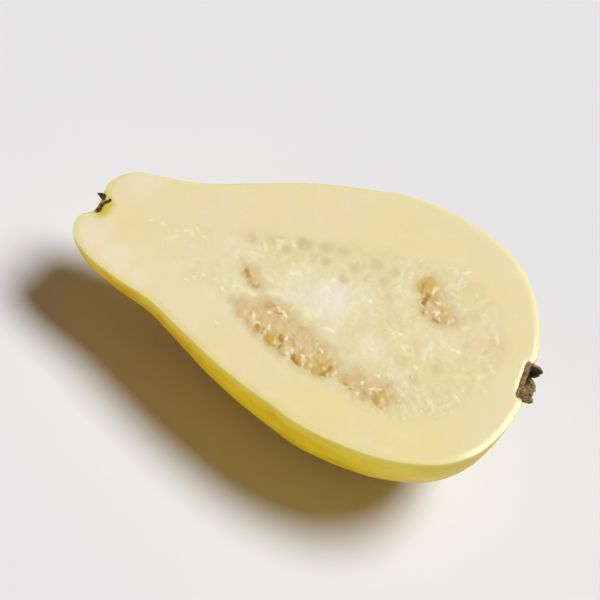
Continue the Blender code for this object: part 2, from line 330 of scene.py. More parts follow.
def ramp(value, low, high):
    """0 at low and before it, 1 at high and past it, smooth between; low may be the greater."""
    t = np.clip((value - low) / (high - low), 0.0, 1.0)
    return t * t * (3.0 - 2.0 * t)


def nearest(points, line, closed=False):
    """Each point's distance to a line, and on which side of it the point lies: 1 or -1."""
    starts = line if closed else line[:-1]
    ends = np.roll(line, -1, axis=0) if closed else line[1:]
    best = np.full(len(points), 1e9)
    side = np.zeros(len(points))
    for start, end in zip(starts, ends):
        step = end - start
        away = points - start
        t = np.clip(away @ step / (step @ step), 0.0, 1.0)
        gap = away - t[:, None] * step
        distance = np.hypot(gap[:, 0], gap[:, 1])
        closer = distance < best
        best[closer] = distance[closer]
        side[closer] = np.sign(step[0] * gap[closer, 1] - step[1] * gap[closer, 0])
    return best, side


def along_and_across(points, x, y, degrees):
    """How far each point lies from a place, along a line turned by this much and across it."""
    turn = math.radians(degrees)
    away = points[:, :2] - (x, y)
    along = away[:, 0] * math.cos(turn) + away[:, 1] * math.sin(turn)
    across = away[:, 1] * math.cos(turn) - away[:, 0] * math.sin(turn)
    return along, across


def inside(points, outline):
    """Which points lie inside a closed outline."""
    found = np.zeros(len(points), bool)
    for a, b in zip(outline, np.roll(outline, -1, axis=0)):
        crosses = (a[1] > points[:, 1]) != (b[1] > points[:, 1])
        if a[1] != b[1]:
            at = a[0] + (points[:, 1] - a[1]) * (b[0] - a[0]) / (b[1] - a[1])
            found ^= crosses & (points[:, 0] < at)
    return found


def add_object(name, data):
    """An object in the scene for this mesh, camera or lamp."""
    made = bpy.data.objects.new(name, data)
    bpy.context.scene.collection.objects.link(made)
    return made


def add_piece(name, points, faces, material, values=None):
    """A smooth mesh of points in fruit space, with these values stored at its points."""
    mesh = bpy.data.meshes.new(name)
    mesh.from_pydata(to_world(points).tolist(), [], faces)
    for key, value in (values or {}).items():
        stored = mesh.attributes.new(key, "FLOAT", "POINT")
        stored.data.foreach_set("value", np.ascontiguousarray(value, np.float32))
    mesh.shade_smooth()
    mesh.materials.append(material)
    piece = add_object(name, mesh)
    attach(piece, "root")
    return piece


# ---- materials ----


def srgb(red, green, blue):
    """A linear colour from 0-255 display values."""
    channels = (value / 255.0 for value in (red, green, blue))
    return tuple(c / 12.92 if c <= 0.04045 else ((c + 0.055) / 1.055) ** 2.4 for c in channels) + (1.0,)


class Shader:
    """A node material under one Principled BSDF, built by short calls."""

    def __init__(self, name, **settings):
        self.material = bpy.data.materials.new(name)
        self.material.use_nodes = True
        self.tree = self.material.node_tree
        self.bsdf = self.tree.nodes["Principled BSDF"]
        self.fill(self.bsdf, settings)

    def feed(self, target, value):
        """Link a socket to an input, or set the input to a value."""
        if isinstance(value, bpy.types.NodeSocket):
            self.tree.links.new(value, target)
        else:
            target.default_value = value

    def fill(self, node, inputs):
        """Feed a node's inputs by their names, with _ for a space."""
        for key, value in inputs.items():
            self.feed(node.inputs[key.replace("_", " ")], value)

    def node(self, kind, **inputs):
        """A new node of this kind, with these inputs."""
        made = self.tree.nodes.new("ShaderNode" + kind)
        self.fill(made, inputs)
        return made

    def place(self):
        """Where each point of the surface lies, in metres."""
        return self.node("TexCoord").outputs["Object"]

    def value(self, name):
        """A value stored at the mesh's points."""
        stored = self.node("Attribute")
        stored.attribute_name = name
        return stored.outputs["Fac"]

    def grain(self, size, detail=3.0, roughness=0.5, stretch=None, distortion=0.0):
        """Noise of this grain size in millimetres, about 0 to 1."""
        place = self.place()
        if stretch:
            place = self.node("Mapping", Vector=place, Scale=stretch).outputs["Vector"]
        texture = self.node(
            "TexNoise", Vector=place, Scale=1.0 / (size * MM),
            Detail=detail, Roughness=roughness, Distortion=distortion,
        )
        return texture.outputs["Fac"]

    def cells(self, size):
        """Distance to the nearest of scattered points about this many millimetres apart."""
        texture = self.node("TexVoronoi", Vector=self.place(), Scale=1.0 / (size * MM))
        return texture.outputs["Distance"]

    def ramp(self, value, low, high, start=0.0, end=1.0):
        """start at low, end at high and smooth between."""
        made = self.node("MapRange", Value=value, From_Min=low, From_Max=high, To_Min=start, To_Max=end)
        made.interpolation_type = "SMOOTHSTEP"
        return made.outputs["Result"]

    def math(self, operation, first, second):
        """One step of arithmetic on two values."""
        made = self.node("Math")
        made.operation = operation
        self.feed(made.inputs[0], first)
        self.feed(made.inputs[1], second)
        return made.outputs["Value"]

    def blend(self, factor, first, second):
        """Colour first where the factor is 0 and second where it is 1."""
        made = self.node("Mix")
        made.data_type = "RGBA"
        sockets = [socket for socket in made.inputs if socket.type == "RGBA"]
        self.feed(made.inputs["Factor"], factor)
        self.feed(sockets[0], first)
        self.feed(sockets[1], second)
        return next(socket for socket in made.outputs if socket.type == "RGBA")

    def stain(self, colour, **stains):
        """Lay each of these colours over another where the value stored under its name is high."""
        for name, tint in stains.items():
            colour = self.blend(self.value(name), colour, srgb(*tint))
        return colour

    def bump(self, height, depth, strength, below=None):
        """A bump this many millimetres deep, on top of another."""
        made = self.node("Bump", Height=height, Strength=strength, Distance=depth * MM)
        if below is not None:
            self.feed(made.inputs["Normal"], below)
        return made.outputs["Normal"]

    def finish(self, colour, roughness, **others):
        """Feed the surface's inputs, and give the material."""
        self.fill(self.bsdf, {"Base Color": colour, "Roughness": roughness, **others})
        return self.material


def skin_material():
    """Ripe yellow skin: mottled and freckled, with fine pores, and paler where it meets the cut."""
    shader = Shader(
        "guava_skin", IOR=1.38, Coat_Weight=0.05, Coat_Roughness=0.3,
        Subsurface_Weight=0.2, Subsurface_Scale=0.002, Subsurface_Radius=(1.0, 0.7, 0.25),
    )
    ripe, light, deep = srgb(244, 214, 26), srgb(242, 220, 38), srgb(218, 168, 16)
    colour = shader.blend(shader.ramp(shader.value("wide_end"), 0.15, 0.9), ripe, light)
    colour = shader.blend(shader.ramp(shader.grain(26.0), 0.5, 0.75, end=0.6), colour, deep)
    streaks = shader.grain(3.6, 4.0, 0.6, stretch=(0.55, 1.0, 1.0), distortion=0.4)
    colour = shader.blend(shader.ramp(streaks, 0.5, 0.72, end=0.55), colour, srgb(242, 224, 80))
    colour = shader.blend(shader.ramp(streaks, 0.5, 0.3, end=0.35), colour, srgb(222, 184, 20))
    # Deeper gold towards the narrow end, partly the skin's own tone and partly painted shade.
    narrow_end = shader.ramp(shader.value("wide_end"), 0.0, 0.35, start=0.6, end=0.0)
    colour = shader.blend(narrow_end, colour, deep)
    dots = shader.ramp(shader.cells(1.3), 0.08, 0.2, start=0.4, end=0.0)
    colour = shader.blend(dots, colour, srgb(232, 204, 84))
    freckles = shader.ramp(shader.grain(1.1, 2.0), 0.68, 0.76, end=0.35)
    colour = shader.blend(freckles, colour, srgb(170, 120, 40))
    colour = shader.stain(colour, dry=(140, 112, 58))
    height = shader.value("inward")
    uneven = shader.math("ADD", height, shader.ramp(streaks, 0.3, 0.7, start=-1.6, end=1.6))
    colour = shader.blend(shader.ramp(uneven, -5.0, -0.6), colour, srgb(236, 220, 80))
    rim = shader.ramp(height, -1.6, 0.0)
    colour = shader.blend(rim, colour, srgb(244, 234, 150))
    roughness = shader.ramp(shader.grain(3.0), 0.3, 0.7, start=0.36, end=0.52)
    roughness = shader.math("ADD", roughness, shader.math("MULTIPLY", shader.value("dry"), 0.5))
    normal = shader.bump(shader.cells(1.3), 0.05, 0.5)
    normal = shader.bump(shader.grain(0.5, 4.0), 0.03, 0.6, normal)
    normal = shader.bump(shader.grain(4.0, 2.0), 0.2, 0.6, normal)
    return shader.finish(colour, roughness, Normal=normal)


def flesh_colour(shader):
    """Cream flesh, paler and greener in the pulp, stained tan where seeds lie under it, with painted
    highlights.
    """
    cream, butter = srgb(238, 223, 179), srgb(237, 223, 160)
    colour = shader.blend(shader.ramp(shader.grain(20.0, 2.0), 0.4, 0.7, end=0.7), cream, butter)
    colour = shader.blend(shader.value("butter"), colour, butter)
    cloudy = shader.ramp(shader.grain(4.5, 4.0, 0.6), 0.5, 0.7, end=0.4)
    colour = shader.blend(cloudy, colour, srgb(243, 231, 196))
    edge = shader.ramp(shader.value("inward"), 0.0, 1.4, start=0.8, end=0.0)
    colour = shader.blend(edge, colour, srgb(243, 233, 158))
    curds = shader.ramp(shader.grain(4.0, 3.0), 0.35, 0.7)
    wet = shader.blend(curds, srgb(231, 217, 167), srgb(235, 222, 177))
    greener = shader.ramp(shader.grain(9.0, 2.0), 0.42, 0.62, end=0.8)
    wet = shader.blend(greener, wet, srgb(230, 218, 160))
    colour = shader.blend(shader.value("pulp"), colour, wet)
    return shader.stain(
        colour,
        core=(242, 233, 212),
        ghost=(211, 197, 152),
        blush=(227, 202, 160),
        halo=(214, 194, 142),
        pocket=(219, 191, 135),
        # The glint colour is painted highlight on the wet cut.
        glint=(253, 244, 198),
        stem_tint=(214, 198, 66),
    )


def flesh_material():
    """The cut face: cream flesh round paler translucent pulp with hidden seeds, wet all over."""
    shader = Shader(
        "guava_flesh", IOR=1.36, Coat_Weight=0.5, Coat_Roughness=0.1, Coat_IOR=1.33,
        Subsurface_Scale=0.002, Subsurface_Radius=(1.0, 0.8, 0.5),
    )
    colour = flesh_colour(shader)
    glow = shader.math("MULTIPLY", shader.value("glow"), 0.5)
    wetness = shader.math("MULTIPLY", shader.value("pulp"), shader.grain(0.9, 3.0))
    roughness = shader.ramp(shader.grain(2.0), 0.3, 0.7, start=0.4, end=0.55)
    film = shader.bump(shader.ramp(wetness, 0.3, 0.75), 0.18, 0.9)
    normal = shader.bump(shader.grain(0.4, 3.0), 0.015, 0.4)
    return shader.finish(colour, roughness, Normal=normal, Coat_Normal=film, Subsurface_Weight=glow)


def seed_material():
    """Seeds in wet pulp: pale tan under their film, amber where bare, painted shade in the clefts
    between, painted highlights on the glints.
    """
    shader = Shader(
        "wet_seeds", IOR=1.4, Coat_Weight=0.36, Coat_Roughness=0.26, Coat_IOR=1.36,
        Subsurface_Scale=0.0014, Subsurface_Radius=(1.0, 0.85, 0.6),
    )
    glow = shader.math("MULTIPLY", shader.value("glow"), 0.85)
    tan = shader.blend(shader.value("tone"), srgb(229, 204, 150), srgb(222, 188, 124))
    tan = shader.blend(shader.ramp(shader.grain(1.3, 3.0), 0.45, 0.7, end=0.5), tan, srgb(232, 208, 156))
    colour = shader.blend(shader.value("seed"), flesh_colour(shader), tan)
    # The brown of the clefts is painted shade between the seeds.
    colour = shader.stain(colour, amber=(211, 172, 68), cleft=(166, 130, 48))
    # The glint colour is painted highlight on the wet seeds.
    glint = shader.math("MULTIPLY", shader.value("glint"), 0.68)
    colour = shader.blend(glint, colour, srgb(248, 224, 180))
    roughness = shader.ramp(shader.grain(0.9), 0.35, 0.65, start=0.35, end=0.52)
    normal = shader.bump(shader.grain(0.5, 3.0), 0.025, 0.5)
    return shader.finish(colour, roughness, Normal=normal, Subsurface_Weight=glow)


def bead_material():
    """Wet crumbs and drops of pulp that lie on the cut; their pale cream, lighter than the flesh, is
    painted highlight.
    """
    shader = Shader("pulp_beads", IOR=1.36, Coat_Weight=0.3, Coat_Roughness=0.3)
    colour = shader.blend(shader.grain(5.0), srgb(248, 236, 200), srgb(248, 234, 188))
    roughness = shader.ramp(shader.grain(1.0), 0.3, 0.7, start=0.2, end=0.35)
    return shader.finish(colour, roughness)


def dry_material(name, dark, light):
    """Dried plant matter in its own browns, darker in its wrinkles and paler on its ridges as painted
    shade and light.
    """
    shader = Shader(name, IOR=1.45)
    fibre = shader.grain(0.5, 5.0, 0.65)
    colour = shader.blend(shader.ramp(fibre, 0.35, 0.65), dark, light)
    # Where the piece stores a high value: painted shade in the wrinkles of the scar and calyx, and dark
    # dried matter.
    colour = shader.stain(colour, deep=(38, 22, 10))
    normal = shader.bump(fibre, 0.12, 0.9)
    roughness = shader.ramp(fibre, 0.3, 0.7, start=0.95, end=0.7)
    return shader.finish(colour, roughness, Normal=normal)


def floor_material():
    """Plain matt paper with the faintest tooth."""
    shader = Shader("pale_floor")
    colour = shader.blend(shader.grain(60.0), srgb(224, 222, 221), srgb(226, 224, 223))
    return shader.finish(colour, 0.8, Normal=shader.bump(shader.grain(0.6), 0.02, 0.2))


# ---- the fruit ----


def seed_gaps(points, seed):
    """How far outside a seed's outline each point lies; below 0 inside it."""
    x, y, long, degrees, _ = seed
    along, across = along_and_across(points, x, y, degrees)
    return (np.hypot(along / long, across / (SEED_WIDTH * long)) - 1.0) * SEED_WIDTH * long


def pocket_cover(points):
    """Each face point's share in a pocket, the hollow there, the stain there, and the gap to a seed."""
    wander = 0.3 * rough(points, 2.4, 3.1) + 0.15 * rough(points, 0.9, 5.7)
    rows = []
    for name, seeds in SEEDS.items():
        _, depth, middle = POCKETS[name]
        gap = np.min([seed_gaps(points, seed) for seed in seeds], axis=0)
        side = nearest(points[:, :2], smooth_line(middle, FINE))[1]
        cover = ramp(0.8 + wander - gap, 0.0, 1.1)
        hollow = depth * ramp(0.1 + wander - gap, 0.0, 1.2)
        spread = np.where(side > 0, 1.9, 1.3) + 2.0 * wander
        rows.append((cover, hollow, ramp(spread - gap, -0.7, 1.3), -gap))
    cover, hollow, halo, near = np.max(rows, axis=0)
    return cover, hollow, halo, -near


def seed_clearance(x, y):
    """How far outside the nearest seed a place on the cut face lies."""
    return pocket_cover(np.array([(x, y, 0.0)]))[3][0]


def marks(points, spots, wander):
    """The strongest of the round marks at each point, with edges that wander by this much."""
    found = []
    for x, y, radius, strength in spots:
        away = np.hypot(points[:, 0] - x, points[:, 1] - y) + wander
        found.append(strength * ramp(radius - away, -0.6 * radius, 0.7 * radius))
    return np.max(found, axis=0)


def radial_strands(points):
    """Ridges that run out from the heart of the pulp, about -1 to 1."""
    away = points[:, :2] - HEART
    turn = np.arctan2(away[:, 1], away[:, 0]) + 0.06 * rough(points, 4.0, 23.0)
    reach = np.hypot(away[:, 0], away[:, 1])
    drawn = np.stack([turn * 22.0, reach / 2.2, np.zeros(len(points))], axis=1)
    return rough(drawn, 1.0, 21.0) * ramp(rough(points, 5.0, 22.0), -0.3, 0.4)


def clefts(points, wander):
    """How far each point lies in one of the clefts between the seeds, 0 to 1; they are darkened as
    painted shade.
    """
    found = []
    for half_width, strength, line in CLEFTS:
        distance = nearest(points[:, :2], np.array(line))[0] + wander
        found.append(strength * ramp(half_width - distance, -1.1 * half_width, 0.9 * half_width))
    return np.max(found, axis=0)


BORDER = smooth_line(PULP_BORDER, COARSE, closed=True)


def pulp_highlight_strokes(draw):
    """Faint strokes of painted highlight that run out through the pulp: x, y, half length, turn in
    degrees, strength.
    """
    strokes = []
    for _ in range(STROKE_COUNT):
        edge = BORDER[draw.randrange(len(BORDER))]
        x, y = edge + 0.85 * draw.random() * (HEART - edge)
        degrees = math.degrees(math.atan2(y - HEART[1], x - HEART[0])) + draw.gauss(0, 30)
        stroke = (x, y, draw.uniform(0.5, 1.3), degrees, draw.uniform(0.15, 0.55))
        if seed_clearance(x, y) > STROKE_CLEARANCE:
            strokes.append(stroke)
    return strokes


# Painted highlights: the glints at full strength, then faint strokes in the pulp.
HIGHLIGHT_STROKES = [(*glint, 1.0) for glint in GLINTS] + pulp_highlight_strokes(random.Random(19))


def glints(points, wander):
    """How far each point lies in one of the pale strokes of painted highlight, 0 to 1."""
    found = []
    for x, y, long, degrees, strength in HIGHLIGHT_STROKES:
        along, across = along_and_across(points, x, y, degrees)
        half_width = 0.28 * long + 0.25 - 0.1 * strength
        distance = np.hypot(along / (1.3 * long), across / half_width) + wander
        found.append(strength * ramp(distance, 1.35, 0.4))
    return np.max(found, axis=0)


def pulp_share(points, wander):
    """How far each face point lies in the pulp, 0 to 1; the pulp is thin towards the stem."""
    depth = nearest(points[:, :2], BORDER, closed=True)[0]
    depth = np.where(inside(points[:, :2], BORDER), depth, -depth)
    return ramp(depth + wander, -1.6, 1.8) * (0.3 + 0.7 * ramp(points[:, 0], 18.0, 34.0))


def face_relief(points, outline):
    """Height of the cut face at these points, the depth of the pockets there, and the stored values."""
    inward = nearest(points[:, :2], outline[::3], closed=True)[0]
    fine = rough(points, 1.3, 1.0)
    medium = rough(points, 3.4, 2.0)
    pulp = pulp_share(points, 1.4 * medium + 0.6 * fine)
    cover, hollow, halo, gap = pocket_cover(points)
    ghost = marks(points, GHOST_SEEDS, 0.3 * fine) * pulp
    stem = np.hypot(points[:, 0] - STEM_PIT[0], 0.65 * (points[:, 1] - STEM_PIT[1]))
    # Pale strokes of painted highlight, which also lift the surface a little.
    glint = glints(points, 0.2 * fine + 0.45 * rough(points, 0.5, 8.0))
    values = {
        "inward": inward,
        "pulp": pulp,
        "ghost": ghost,
        "core": np.maximum(
            0.85 * marks(points, PALE_PATCHES, 1.6 * medium) * pulp,
            marks(points, PALE_RIM, 1.6 * medium),
        ),
        "blush": marks(points, BLUSHES, 0.8 * medium),
        "halo": 0.75 * halo,
        "pocket": 0.85 * ramp(cover, 0.05, 0.7),
        "amber": marks(points, AMBER, 0.35 * medium + 0.2 * fine),
        # Clefts between the seeds: sunk a little, and painted dark as shade.
        "cleft": clefts(points, 0.2 * fine + 0.2 * medium),
        "glow": 1.0 - ramp(np.abs(gap - 0.3), 1.8, 0.7),
        "glint": glint,
        "stem_tint": 0.95 * ramp(stem + 0.3 * fine, 2.8, 0.8),
        "butter": marks(points, BUTTER_PATCHES, 2.5 * medium),
    }
    rim = np.maximum(0.0, 1.0 - inward / RIM_ROUND)
    height = 0.05 * rough(points, 7.0, 4.0)
    strands = radial_strands(points) * ramp(points[:, 0], 56.0, 76.0)
    grains = 0.08 * medium + 0.05 * fine + 0.03 * rough(points, 0.7, 6.0)
    height += pulp * (grains + 0.09 * strands - 0.04)
    height += GHOST_HEIGHT * ghost + STROKE_HEIGHT * glint
    height = height * ramp(inward, 0.0, 1.5) - RIM_DROP * rim**2
    return height, hollow, values


def hex_points(outline, step):
    """Evenly scattered points that fill a closed outline."""
    low, high = outline.min(axis=0), outline.max(axis=0)
    rise = step * math.sqrt(3) / 2
    rows = np.arange(low[1] + rise, high[1], rise)
    grid = []
    for index, y in enumerate(rows):
        x = np.arange(low[0] + step * (0.5 + 0.5 * (index % 2)), high[0], step)
        grid.append(np.stack([x, np.full(len(x), y)], axis=1))
    grid = np.vstack(grid)
    distance = nearest(grid, outline, closed=True)[0]
    return grid[inside(grid, outline) & (distance > 0.55 * step)]


def triangles(flat, rim):
    """Upward triangles between flat points, of which the first ones, this many, are the outline."""
    corners = [Vector(point) for point in flat]
    found = []
    for triangle in delaunay_2d_cdt(corners, [], [list(range(rim))], 1, 1e-6)[2]:
        a, b, c = (corners[corner] for corner in triangle)
        found.append(triangle[::-1] if (b - a).cross(c - a) < 0 else triangle)
    return found


def half_turned(profile, turns, fill):
    """Half a turn of a profile, bent, and closed by a flat cut face with points this far apart.

    Gives the points, the faces, how many of the faces are turned, which points are on the cut with
    the rim's first, and how many of those are on the rim.
    """
    rows = len(profile)
    skin = turned_points(profile, turns)
    skin = bent(np.vstack([skin[:1, 0], skin[1:-1].reshape(-1, 3), skin[-1:, 0]]))
    last = len(skin) - 1

    def at(row, column):
        if row == 0:
            return 0
        return last if row == rows - 1 else 1 + (row - 1) * (turns + 1) + column

    faces = []
    for row in range(rows - 1):
        for column in range(turns):
            ring = (at(row, column), at(row + 1, column), at(row + 1, column + 1), at(row, column + 1))
            faces.append(tuple(dict.fromkeys(ring)))
    turned = len(faces)
    rim = [at(row, 0) for row in range(rows)] + [at(row, turns) for row in range(rows - 2, 0, -1)]
    outline = skin[rim][:, :2]
    grid = hex_points(outline, fill)
    cut = np.array(rim + list(range(last + 1, last + 1 + len(grid))))
    for triangle in triangles(np.vstack([outline, grid]), len(rim)):
        faces.append([int(cut[corner]) for corner in triangle])
    points = np.vstack([skin, np.hstack([grid, np.zeros((len(grid), 1))])])
    return points, faces, turned, cut, len(rim)


def normals_of(points, faces):
    """The normal of a mesh at each of its points."""
    mesh = bpy.data.meshes.new("measured")
    mesh.from_pydata(points.tolist(), [], faces)
    normals = np.empty(3 * len(points), np.float32)
    mesh.vertex_normals.foreach_get("vector", normals)
    bpy.data.meshes.remove(mesh)
    return normals.reshape(-1, 3).astype(float)


def reach_from(points, x):
    """Distance of each point from a place on the fruit's long axis."""
    return np.linalg.norm(points - np.array((x, 0.0, 0.0)), axis=1)


def skin_folds(points):
    """Puckers that run in to the fruit's two ends."""
    turn = np.arctan2(-points[:, 2], points[:, 1])
    folds = rough(np.column_stack([turn * 8.0, 0.12 * points[:, 0], np.zeros(len(points))]), 1.0, 17.0)
    stem = ramp(reach_from(points, STEM_FOLDS), 9.0, 3.5)
    calyx = ramp(reach_from(points, CALYX_MIDDLE), 14.0, 5.0)
    return FOLD_DEPTH * folds * np.maximum(stem, calyx)


def dryness(points, inward):
    """How dry the skin is round the fruit's two ends, 0 to 1."""
    stem = ramp(reach_from(points, STEM_DRYNESS), 6.5, 3.0)
    calyx = 0.6 * ramp(reach_from(points, CALYX_MIDDLE), 8.5, 5.0)
    return 0.85 * np.maximum(stem, calyx) * ramp(-inward, 0.0, 0.8)


def build_fruit():
    """The half fruit as one closed mesh: the turned skin, and the cut face with its relief."""
    profile = evenly(smooth_line(OUTLINE, FINE), SKIN_STEP)
    points, faces, turned, cut, rim_count = half_turned(profile, SKIN_TURNS, FACE_STEP)
    rim = cut[:rim_count]
    outline = points[rim, :2]
    height, hollow, values = face_relief(points[cut], outline)
    stored = {key: np.zeros(len(points)) for key in values}
    for key, value in values.items():
        stored[key][cut] = value
    under = np.ones(len(points), bool)
    under[cut] = False
    # On the skin this is the height, which is below 0.
    stored["inward"][under] = points[under, 2]
    stored["inward"][rim] = 0.0

    skin_share = np.where(under, 1.0, ramp(stored["inward"], 5.0, 0.0))
    off_ends = ramp(np.minimum(points[:, 0] - 3.0, 96.0 - points[:, 0]), 0.0, 8.0)
    lumps = sum(size * rough(points, grain, 10.0 + grain) for size, grain in LUMPS)
    outwards = normals_of(points, faces)
    outwards[cut] = 0.0
    outwards[rim, :2] = normals_of(points, faces[:turned])[rim, :2]
    points += outwards * (lumps * skin_share * off_ends)[:, None]
    points[cut, 2] += height - hollow
    points += outwards * (skin_folds(points) * under)[:, None]

    stored["wide_end"] = ramp(points[:, 0] + 5.0 * rough(points, 16.0, 9.0), 20.0, 95.0)
    stored["dry"] = dryness(points, stored["inward"])
    piece = add_piece("guava_half", points, faces, skin_material(), stored)
    piece.data.materials.append(flesh_material())
    for polygon in piece.data.polygons[turned:]:
        polygon.material_index = 1
    piece.data.set_sharp_from_angle(angle=math.radians(50.0))
    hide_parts("fruit_half")
    return points[cut], outline


# ---- the seeds ----


def pocket_outline(name):
    """The outline of a pocket's filling on the cut face, a little wider than the pocket."""
    half_width, _, middle = POCKETS[name]
    line = smooth_line(middle, FINE)
    step = np.gradient(line, axis=0)
    step /= np.linalg.norm(step, axis=1, keepdims=True)
    across = np.stack([-step[:, 1], step[:, 0]], axis=1)
    reach = half_width + FILLING_MARGIN
    turns = np.linspace(0.0, math.pi, 14)[1:-1, None]
    start = line[0] + reach * (across[0] * np.cos(turns) - step[0] * np.sin(turns))
    end = line[-1] + reach * (step[-1] * np.sin(turns) - across[-1] * np.cos(turns))
    around = np.vstack([start, line - reach * across, end, (line + reach * across)[::-1]])
    return evenly(np.vstack([around, around[:1]]), SEED_STEP)[:-1]


def seed_domes(points, name, draw):
    """Height of each seed, slightly bent and uneven, over these points: one row for each seed."""
    warp = np.stack([rough(points, 1.3, 31.0), rough(points, 1.3, 32.0)], axis=1)
    flat = points[:, :2] + SEED_WARP * warp
    rows = []
    for x, y, long, degrees, top in SEEDS[name]:
        wide = long * SEED_WIDTH * draw.uniform(0.94, 1.08)
        high = SEED_HEIGHT * long
        along, across = along_and_across(flat, x, y, degrees)
        along /= long
        across /= wide
        bend = 0.4 * draw.uniform(-1.0, 1.0)
        distance = np.hypot(along, across + bend * (along**2 - 0.4))
        dome = np.sqrt(np.maximum(0.0, 1.0 - distance**2.4))
        rows.append(np.where(distance < 1.0, top - high * (1.0 - dome), top - high * distance))
    return np.array(rows)


def slab(around, step):
    """A thin closed body's flat layout: its upper points, all its faces, and the outline's point count.

    The lower points follow the upper ones, except that the two sides share the outline's own.
    """
    rim = len(around)
    flat = np.vstack([around, hex_points(around, step)])
    lower = len(flat) - rim
    faces = []
    for upper in triangles(flat, rim):
        faces.append(upper)
        faces.append([corner if corner < rim else corner + lower for corner in reversed(upper)])
    return flat, faces, rim


def build_seeds(name, outline, material, draw):
    """The seeds of one pocket, half sunk in the wet pulp that fills it: a closed body."""
    around = pocket_outline(name)
    flat, faces, rim = slab(around, SEED_STEP)
    top = np.hstack([flat, np.zeros((len(flat), 1))])
    height, _, values = face_relief(top, outline)
    domes = seed_domes(top, name, draw)
    film = -FILM_DROP + 0.07 * rough(top, 1.6, 33.0)
    blended = np.exp(domes * SEED_SHARPNESS).sum(axis=0) + np.exp(film * SEED_SHARPNESS)
    melted = np.log(blended) / SEED_SHARPNESS
    share = ramp(values["pocket"], 0.0, 0.65)
    grains = 0.02 * rough(top, 0.6, 3.0) + 0.05 * rough(top, 1.0, 34.0)
    edge = nearest(flat, around, closed=True)[0]
    sunk = EDGE_SINK * ramp(edge, 0.5, 0.0) + 0.01
    lumpy = SEED_RELIEF * (melted + FILM_DROP) + grains - CLEFT_DEPTH * values["cleft"] + 0.03
    top[:, 2] = height - sunk + share * lumpy
    bottom = top[rim:].copy()
    bottom[:, 2] = np.minimum(bottom[:, 2] - 0.2, -0.3 - 1.4 * ramp(edge[rim:], 0.0, 1.5))
    tones = np.array([draw.random() for _ in SEEDS[name]])
    values["tone"] = tones[domes.argmax(axis=0)]
    values["seed"] = 0.9 * share * ramp(melted - film, 0.08, 0.35)
    values["amber"] *= share
    values["cleft"] *= share
    stored = {key: np.append(value, value[rim:]) for key, value in values.items()}
    piece = add_piece(name + "_wet", np.vstack([top, bottom]), faces, material, stored)
    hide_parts(name)
    return top


# ---- the beads and the dry ends ----


def pulp_drops(draw):
    """A drop on each glint that is clear of the seeds, then a scatter that starts at the pulp's border.

    Each is x, y, half length, half width and turn.
    """
    drops = []
    for x, y, long, degrees in GLINTS:
        if seed_clearance(x, y) > BEAD_CLEARANCE:
            drops.append((x, y, 0.6 * long, 0.12 * long + 0.07, math.radians(degrees)))
    for _ in range(BEAD_COUNT):
        edge = BORDER[draw.randrange(len(BORDER))]
        inwards = draw.random() ** 1.4
        x, y = edge + (HEART - edge) * inwards * 0.85 + (draw.gauss(0, 0.8), draw.gauss(0, 0.8))
        if seed_clearance(x, y) < BEAD_CLEARANCE:
            continue
        radial = math.atan2(y - HEART[1], x - HEART[0])
        wide = float(ramp(x, 58.0, 80.0)) * (1.0 - inwards)
        thick = draw.uniform(0.13, 0.25)
        long = thick * (draw.uniform(1.0, 2.0) + wide * draw.uniform(0.5, 2.5))
        drops.append((x, y, long, thick, radial + draw.gauss(0, 0.4)))
    return drops


def build_beads(surface, material, draw):
    """Drops and crumbs of juicy pulp, as uneven flat balls that follow the surface under them."""
    tree = KDTree(len(surface))
    for index, point in enumerate(surface):
        tree.insert(Vector((point[0], point[1], 0.0)), index)
    tree.balance()
    ball = bmesh.new()
    bmesh.ops.create_icosphere(ball, subdivisions=2, radius=1.0)
    shape = np.array([corner.co for corner in ball.verts])
    sides = [[corner.index for corner in side.verts] for side in ball.faces]
    ball.free()
    points = []
    faces = []
    count = 0
    for x, y, long, thick, turn in pulp_drops(draw):
        wobble = 1.0 + 0.45 * rough(shape, 0.9, draw.uniform(0, 40))
        turned = np.array(Matrix.Rotation(turn, 3, "Z"))
        body = (shape * wobble[:, None] * (long, thick, BEAD_HEIGHT * thick)) @ turned.T
        body[:, :2] += (x, y)
        for corner in body:
            near = tree.find_n(Vector((corner[0], corner[1], 0.0)), 4)
            ground = sum(surface[index, 2] for _, index, _ in near) / len(near)
            corner[2] += ground - BEAD_SINK * thick
        points.append(body)
        faces.extend([count + corner for corner in side] for side in sides)
        count += len(shape)
    piece = add_piece("pulp_beads", np.vstack(points), faces, material)


def build_scar(material):
    """The dry scar in the stem pit, cut through: a thin cracked disc that thickens at its rim."""
    profile = evenly(smooth_line(STEM_SCAR, COARSE), SCAR_STEP)
    points, faces = half_turned(profile, SCAR_TURNS, SCAR_STEP)[:2]
    points[:, 0] += 0.95 * ramp(points[:, 1], 0.6, 1.9) + 0.3 * ramp(-points[:, 1], 0.2, 1.4)
    ridges = rough(points * (0.5, 1.0, 1.0), 0.6, 12.0)
    fibres = rough(points, 0.25, 13.0)
    points[:, 2] = np.where(points[:, 2] > -0.02, 0.09, points[:, 2])
    points += normals_of(points, faces) * (0.12 * ridges + 0.05 * fibres)[:, None]
    # Painted shade in the valleys between the scar's ridges.
    values = {"deep": ramp(-ridges - 0.4 * fibres, -0.2, 0.5)}
    piece = add_piece("stem_scar_cracked", points, faces, material, values)
    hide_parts("stem_scar")


